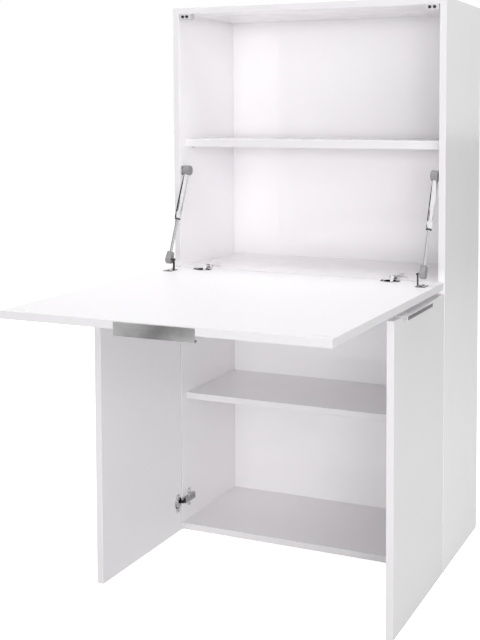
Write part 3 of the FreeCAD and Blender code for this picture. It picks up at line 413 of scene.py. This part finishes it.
def make_plating():
    """Nickel or chrome plating: a bright skin with slight clouding and
    pin-point specks. A way input weighs the directions of the faces that
    carry painted light, a lighter tone than the rest of the part."""
    group, enter, leave = new_group(
        "plating",
        [
            ("Vector", VECTOR, None), ("Bright", COLOUR, (0.75, 0.75, 0.77, 1)),
            ("Dull", COLOUR, (0.5, 0.5, 0.52, 1)), ("Polish", FLOAT, 0.08), ("Haze", FLOAT, 0.2),
            ("Normal", VECTOR, None), ("Painted Light Way", VECTOR, (0, 0, 0)),
            ("Wear And Painted Light Tone", COLOUR, (0.7, 0.69, 0.7, 1)),
        ],
        [("Color", COLOUR), ("Roughness", FLOAT), ("Height", FLOAT)],
    )
    given, links = enter.outputs, group.links
    cloud_and_painted_light = add_noise(group, given["Vector"], scale=90.0, detail=4.0, rough=0.6)
    speck = add_noise(group, given["Vector"], scale=1400.0, detail=1.0)
    spots = add_range(group, speck, *SPECK_SPAN)
    mask = add_math(group, "MAXIMUM", add_range(group, cloud_and_painted_light, *CLOUD_SPAN, 0, CLOUD_MOST), spots)
    skin = add_mix(group, mask, given["Bright"], given["Dull"])
    # Painted light: faces along the given way take the lighter tone, a painted reflection of the
    # pale surroundings.
    wear_and_painted_light = add_math(
        group, "MULTIPLY",
        facing_share(group, enter, "Painted Light Way"),
        add_range(group, cloud_and_painted_light, *PAINTED_LIGHT_SPAN, PAINTED_LIGHT_LEAST, 1),
    )
    links.new(add_mix(group, wear_and_painted_light, skin, given["Wear And Painted Light Tone"]), leave.inputs["Color"])
    shine = add_range(group, mask, 0.0, 1.0, given["Polish"], given["Haze"])
    links.new(shine, leave.inputs["Roughness"])
    links.new(cloud_and_painted_light, leave.inputs["Height"])
    return group


# Moulding: the part of each noise that is used, and the shine.
MOTTLE_SPAN = (0.4, 0.75)
GRAIN_SPAN = (0.3, 0.7)
MOULDED_SHINE = (0.38, 0.52)


def make_moulding():
    """Moulded plastic: fine spark-eroded grain and a little mottling."""
    group, enter, leave = new_group(
        "moulding",
        [
            ("Vector", VECTOR, None), ("Tone", COLOUR, (0.3, 0.3, 0.31, 1)),
            ("Wear And Painted Light Tone", COLOUR, (0.38, 0.38, 0.39, 1)),
        ],
        [("Color", COLOUR), ("Roughness", FLOAT), ("Height", FLOAT)],
    )
    given, links = enter.outputs, group.links
    grain = add_noise(group, given["Vector"], scale=1500.0, detail=2.0)
    mottle = add_noise(group, given["Vector"], scale=60.0, detail=3.0)
    spread = add_range(group, mottle, *MOTTLE_SPAN)
    links.new(add_mix(group, spread, given["Tone"], given["Wear And Painted Light Tone"]), leave.inputs["Color"])
    links.new(add_range(group, grain, *GRAIN_SPAN, *MOULDED_SHINE), leave.inputs["Roughness"])
    links.new(grain, leave.inputs["Height"])
    return group


# Finishes.


def new_finish(name, group, settings, bump, distance, shader):
    """A material whose colour, shine and relief come from one group on
    Object coordinates."""
    material, tree = empty_material(name)
    place = tree.nodes.new("ShaderNodeTexCoord")
    part = tree.nodes.new("ShaderNodeGroup")
    part.node_tree = group
    for title, value in settings.items():
        part.inputs[title].default_value = value
    principled = tree.nodes.new("ShaderNodeBsdfPrincipled")
    for title, value in shader.items():
        principled.inputs[title].default_value = value
    relief = tree.nodes.new("ShaderNodeBump")
    relief.inputs["Strength"].default_value = bump
    relief.inputs["Distance"].default_value = distance
    output = tree.nodes.new("ShaderNodeOutputMaterial")
    tree.links.new(place.outputs["Object"], part.inputs["Vector"])
    if "Normal" in part.inputs:
        tree.links.new(place.outputs["Normal"], part.inputs["Normal"])
    tree.links.new(part.outputs["Color"], principled.inputs["Base Color"])
    tree.links.new(part.outputs["Roughness"], principled.inputs["Roughness"])
    if "Satin Way" in settings:
        tree.links.new(part.outputs["Coat"], principled.inputs["Coat Weight"])
    tree.links.new(part.outputs["Height"], relief.inputs["Height"])
    tree.links.new(relief.outputs["Normal"], principled.inputs["Normal"])
    tree.links.new(principled.outputs[0], output.inputs["Surface"])
    return material


def lacquer_finishes():
    lacquer = make_lacquer_skin()
    # The board edges carry painted shade, a tone deeper than the faces.
    board_edge_shade = {"Shaded Edge Ways": (0, 1, 0)}
    board_shine = {"Shine Low": 0.12, "Shine High": 0.22}
    board_coat = {"Coat Weight": 0.15, "Coat Roughness": 0.04}
    front_coat = {"Coat Roughness": 0.04}
    # Painted shade: the outer gloss faces of the flap and doors are a deeper white than the
    # carcass and than their own inner faces.
    front_shade_and_shine = {
        "Tone": (0.87, 0.854, 0.87, 1), "Deep Tone": (0.86, 0.844, 0.86, 1),
        "Shine Low": 0.05, "Shine High": 0.12,
    }
    return {
        "carcass_board": new_finish(
            "carcass_white_gloss", lacquer, {**board_edge_shade, **board_shine},
            bump=0.04, distance=0.0004, shader=board_coat,
        ),
        # The sides and the desk board take the painted edge shade only above the doors; below, the
        # face colour is painted light against the shade of the door gap.
        "carcass_side": new_finish(
            "carcass_side_white_gloss", lacquer,
            {**board_edge_shade, **board_shine, "Edge Shade Start": 0.79},
            bump=0.04, distance=0.0004, shader=board_coat,
        ),
        # Painted shade: the back board is a deeper white than the carcass boards.
        "back_board": new_finish(
            "back_board_white", lacquer,
            {
                "Tone": (0.87, 0.853, 0.87, 1), "Deep Tone": (0.86, 0.843, 0.86, 1),
                "Shine Low": 0.06, "Shine High": 0.12,
            },
            bump=0.02, distance=0.0004,
            shader={"Coat Weight": 0.3, "Coat Roughness": 0.04},
        ),
        "gloss_front": new_finish(
            "flap_high_gloss", lacquer, {**board_edge_shade, "Satin Way": (0, 0, 1), **front_shade_and_shine},
            bump=0.03, distance=0.0004, shader=front_coat,
        ),
        "gloss_front_left": new_finish(
            "left_door_high_gloss", lacquer, {**board_edge_shade, "Satin Way": (1, 0, 0), **front_shade_and_shine},
            bump=0.03, distance=0.0004, shader=front_coat,
        ),
        "gloss_front_right": new_finish(
            "right_door_high_gloss", lacquer, {**board_edge_shade, "Satin Way": (-1, 0, 0), **front_shade_and_shine},
            bump=0.03, distance=0.0004, shader=front_coat,
        ),
        "white_strike": new_finish(
            "strike_white_coat", lacquer,
            {"Tone": (0.87, 0.86, 0.87, 1), "Shine Low": 0.25, "Shine High": 0.4},
            bump=0.05, distance=0.0002, shader={},
        ),
    }


def brushed_finishes():
    brushing = make_brushing()
    return {
        # Painted reflection: the flap handle's dark middle is a stripe painted into its colour.
        "handle_steel": new_finish(
            "flap_handle_brushed_steel", brushing,
            {
                "Stretch": (4, 1100, 1100), "Reflection Stripe Way": (30, 0, -40), "Reflection Stripe Start": 29.9,
                "Light": (0.65, 0.64, 0.65, 1), "Dark": (0.25, 0.246, 0.25, 1),
            },
            bump=0.12, distance=0.0001, shader={"Metallic": 1.0},
        ),
        # The door handles' pale top plates are painted light against the shade under the flap, and
        # their dark lips a painted reflection.
        "handle_steel_upright": new_finish(
            "door_handle_brushed_steel", brushing,
            {
                "Stretch": (1100, 4, 1100), "Reflection Stripe Way": (0, 26, 0), "Reflection Stripe Start": 0.8,
                "Light": (0.95, 0.935, 0.95, 1), "Dark": (0.8, 0.785, 0.8, 1),
                "Shaded Lip Way": (1, 0, 0), "Lip Shade Tone": (0.08, 0.078, 0.08, 1),
            },
            bump=0.12, distance=0.0001, shader={"Metallic": 0.65},
        ),
    }


# Each plated finish's slot, name, bright and dull tones, polish, haze and bump.
PLATED = (
    ("pin_steel", "pin_nickel",
     (0.75, 0.75, 0.77, 1), (0.5, 0.5, 0.52, 1), 0.12, 0.25, 0.1),
    ("screw_steel", "screw_zinc",
     (0.68, 0.68, 0.7, 1), (0.42, 0.42, 0.44, 1), 0.16, 0.3, 0.15),
    ("screw_dark", "screw_dark_nickel",
     (0.14, 0.137, 0.14, 1), (0.07, 0.068, 0.07, 1), 0.2, 0.35, 0.15),
    ("hinge_cup_steel", "hinge_cup_nickel",
     (0.42, 0.415, 0.425, 1), (0.22, 0.22, 0.23, 1), 0.14, 0.3, 0.12),
    # The flap cups' near-black and the door cups' near-white are painted reflections; both stand
    # for the same nickel.
    ("hinge_cup_dark", "hinge_cup_nickel_painted_dark_reflection",
     (0.1, 0.098, 0.1, 1), (0.05, 0.049, 0.05, 1), 0.2, 0.38, 0.12),
    ("hinge_cup_bright", "hinge_cup_nickel_painted_light_reflection",
     (0.78, 0.77, 0.78, 1), (0.5, 0.5, 0.51, 1), 0.12, 0.26, 0.12),
    ("hinge_arm_steel", "hinge_arm_nickel",
     (0.92, 0.9, 0.92, 1), (0.66, 0.65, 0.66, 1), 0.12, 0.26, 0.12),
    # The links' black is painted shade, standing for the dark shade and reflection inside the
    # hinge arms.
    ("hinge_link_steel", "hinge_link_painted_black_shade",
     (0.03, 0.03, 0.032, 1), (0.015, 0.015, 0.016, 1), 0.25, 0.4, 0.12),
    ("strut_chrome", "strut_tube_chrome",
     (0.84, 0.83, 0.85, 1), (0.66, 0.66, 0.68, 1), 0.05, 0.12, 0.02),
    ("strut_rod_chrome", "strut_rod_polish",
     (0.66, 0.65, 0.67, 1), (0.52, 0.51, 0.53, 1), 0.4, 0.5, 0.04),
    ("bracket_dark", "bracket_dark_steel",
     (0.07, 0.068, 0.07, 1), (0.04, 0.039, 0.04, 1), 0.3, 0.45, 0.15),
)

# Plated finishes whose level faces carry painted light, a lighter tone than the rest of the part.
PAINTED_LIGHT_LEVEL = {
    "hinge_cup_dark": (0.7, 0.685, 0.7, 1),
    "bracket_dark": (0.72, 0.7, 0.72, 1),
}
BRACKET_METALLIC = 0.8


def plated_finishes():
    plating = make_plating()
    finishes = {}
    for slot, name, bright, dull, polish, haze, bump in PLATED:
        settings = {"Bright": bright, "Dull": dull, "Polish": polish, "Haze": haze}
        if slot in PAINTED_LIGHT_LEVEL:
            settings.update({"Painted Light Way": (0, 0, 1), "Wear And Painted Light Tone": PAINTED_LIGHT_LEVEL[slot]})
        metallic = BRACKET_METALLIC if slot == "bracket_dark" else 1.0
        finishes[slot] = new_finish(
            name, plating, settings, bump=bump, distance=0.0001, shader={"Metallic": metallic}
        )
    return finishes


# Each moulded finish's slot, name, tone, worn tone, bump and share of metal.
MOULDED = (
    ("catch_plastic", "catch_light_grey",
     (0.6, 0.585, 0.6, 1), (0.66, 0.645, 0.66, 1), 0.15, 0.0),
    ("magnet", "magnet_black",
     (0.02, 0.02, 0.022, 1), (0.05, 0.05, 0.052, 1), 0.2, 0.4),
    ("glide_plastic", "glide_grey",
     (0.62, 0.61, 0.62, 1), (0.55, 0.54, 0.55, 1), 0.15, 0.0),
    ("seal_rubber", "seal_black_rubber",
     (0.02, 0.02, 0.02, 1), (0.035, 0.034, 0.035, 1), 0.2, 0.0),
    ("socket_plastic", "socket_mid_grey",
     (0.26, 0.253, 0.26, 1), (0.31, 0.302, 0.31, 1), 0.2, 0.0),
)


def moulded_finishes():
    moulding = make_moulding()
    return {
        slot: new_finish(
            name, moulding, {"Tone": tone, "Wear And Painted Light Tone": wear_and_painted_light},
            bump=bump, distance=0.0001, shader={"Metallic": metallic},
        )
        for slot, name, tone, wear_and_painted_light, bump, metallic in MOULDED
    }


# A finish that differs from the one its slot has: the sides and the desk
# board have their painted edge shade only above the doors, the door fronts and
# their handles lie another way round, and some steel parts are brighter or
# darker, the hinge cups by painted reflection.
OWN_FINISH = {
    "desk_board": "carcass_side",
    "side_left": "carcass_side",
    "side_right": "carcass_side",
    "door_left_panel": "gloss_front_left",
    "door_right_panel": "gloss_front_right",
    "door_left_handle": "handle_steel_upright",
    "door_right_handle": "handle_steel_upright",
    "flap_hinge_links": "hinge_arm_steel",
    "flap_hinge_left_cup": "hinge_cup_dark",
    "flap_hinge_right_cup": "hinge_cup_dark",
    "flap_screws": "screw_dark",
    "strut_top_bracket_left": "socket_plastic",
    "strut_top_bracket_right": "socket_plastic",
}
for hinge in ("left_hinge_low", "left_hinge_high", "right_hinge_low", "right_hinge_high"):
    OWN_FINISH["door_" + hinge + "_cup"] = "hinge_cup_bright"
    OWN_FINISH["door_" + hinge + "_arm"] = "hinge_cup_steel"


def dress_nodes(finishes):
    for entry in frame["record"]["subparts"]:
        node = NODES[entry["node"]]
        node.data.materials.clear()
        node.data.materials.append(finishes[OWN_FINISH.get(entry["node"], entry["material_slot"])])


# Gas springs: turned parts on the line from the head pivot to the foot ball.

SPRING_HEAD = Vector((0.368, 0.2309, 1.046))
SPRING_FOOT = Vector((0.368, 0.1279, 0.803))

# Outlines run from the axis to the axis as (radius, distance from the head
# pivot). The seal's outline is a closed ring round the rod.
TUBE_RADIUS = 0.009
BORE_RADIUS = 0.0043
ROD_RADIUS = 0.004
TUBE_OUTLINE = (
    # head end, barrel, crimped groove
    (0, 0.0146), (0.0082, 0.0146), (TUBE_RADIUS, 0.0154), (TUBE_RADIUS, 0.1243),
    (0.0087, 0.1249), (0.0081, 0.1256), (0.0079, 0.1262), (0.0081, 0.1268), (0.0087, 0.1275),
    # end collar, rolled over
    (TUBE_RADIUS, 0.1281), (TUBE_RADIUS, 0.1412), (0.0088, 0.1427), (0.0083, 0.1439),
    (0.0076, 0.1447), (0.0068, 0.145), (0.0062, 0.1448), (0.0062, 0.143),
    # bore for the rod
    (BORE_RADIUS, 0.143), (BORE_RADIUS, 0.06), (0, 0.06),
)
ROD_OUTLINE = (
    (0, 0.105), (0.0036, 0.105), (ROD_RADIUS, 0.1054), (ROD_RADIUS, 0.242), (0, 0.242),
)
SEAL_OUTLINE = (
    (0.0041, 0.1432), (0.0061, 0.1432), (0.0061, 0.1451), (0.0079, 0.1451),
    (0.0077, 0.1466), (0.0066, 0.1472), (0.0041, 0.1472), (0.0041, 0.1432),
)

TURNING_STEPS = 64
SEED_SIZE = 0.001
WELD_DISTANCE = 0.000005
SMOOTH_ANGLE = 35


def pick(part):
    """Makes the part the active one, and the only one selected."""
    bpy.ops.object.select_all(action="DESELECT")
    part.select_set(True)
    bpy.context.view_layer.objects.active = part


def turn_part(name, outline):
    """A part turned about Z from its outline."""
    radius, height = outline[0]
    bpy.ops.object.select_all(action="DESELECT")
    bpy.ops.mesh.primitive_plane_add(size=SEED_SIZE, location=(radius, 0, height))
    bpy.ops.object.transform_apply(location=True, rotation=True, scale=True)
    part = bpy.context.active_object
    part.name = name
    bpy.ops.object.mode_set(mode="EDIT")
    bpy.ops.mesh.select_all(action="SELECT")
    bpy.ops.mesh.merge(type="CENTER")
    for last, place in zip(outline, outline[1:]):
        step = (place[0] - last[0], 0, place[1] - last[1])
        bpy.ops.mesh.extrude_region_move(TRANSFORM_OT_translate={"value": step})
    bpy.ops.mesh.select_all(action="SELECT")
    bpy.ops.mesh.spin(steps=TURNING_STEPS, angle=math.tau, center=(0, 0, 0), axis=(0, 0, 1))
    bpy.ops.mesh.select_all(action="SELECT")
    bpy.ops.mesh.remove_doubles(threshold=WELD_DISTANCE)
    bpy.ops.mesh.normals_make_consistent(inside=False)
    bpy.ops.object.mode_set(mode="OBJECT")
    bpy.ops.object.shade_smooth_by_angle(angle=math.radians(SMOOTH_ANGLE))
    return part


def lay_on_spring(part, side):
    """Turns a part made along Z onto the spring's line on the named side,
    measured from the head pivot."""
    sign = -1 if side == "left" else 1
    head, foot = (Vector((sign * end.x, end.y, end.z)) for end in (SPRING_HEAD, SPRING_FOOT))
    part.rotation_euler = (foot - head).to_track_quat("Z", "Y").to_euler()
    part.location = head
    pick(part)
    bpy.ops.object.transform_apply(location=True, rotation=True, scale=True)


def copied(part, name):
    """A copy with a mesh of its own."""
    pick(part)
    bpy.ops.object.duplicate(linked=False)
    twin = bpy.context.active_object
    twin.name = name
    return twin


def make_gas_springs(finishes):
    tube = turn_part("gas_spring_tube_left", TUBE_OUTLINE)
    rod = turn_part("gas_spring_rod_left", ROD_OUTLINE)
    seal = turn_part("gas_spring_seal_left", SEAL_OUTLINE)
    for first, kind, body, slot, finish in (
        (tube, "tube", "strut_tube_", "strut_chrome", "strut_chrome"),
        (rod, "rod", "strut_rod_", "strut_rod_chrome", "strut_rod_chrome"),
        (seal, "seal", "strut_tube_", "socket_plastic", "seal_rubber"),
    ):
        second = copied(first, "gas_spring_" + kind + "_right")
        for part, side in ((first, "left"), (second, "right")):
            lay_on_spring(part, side)
            part.data.materials.clear()
            part.data.materials.append(finishes[finish])
            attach(part, body + side)
            if kind != "seal":
                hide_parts("strut_" + kind + "_" + side)


make_camera()
make_world()
make_floor()
for softbox in SOFTBOXES:
    add_softbox(*softbox)
for flag in FLAGS:
    add_flag(*flag)
finishes = {**lacquer_finishes(), **brushed_finishes(), **plated_finishes(), **moulded_finishes()}
dress_nodes(finishes)
make_gas_springs(finishes)

scene = bpy.context.scene
scene.view_settings.view_transform = "Standard"

bpy.context.view_layer.update()
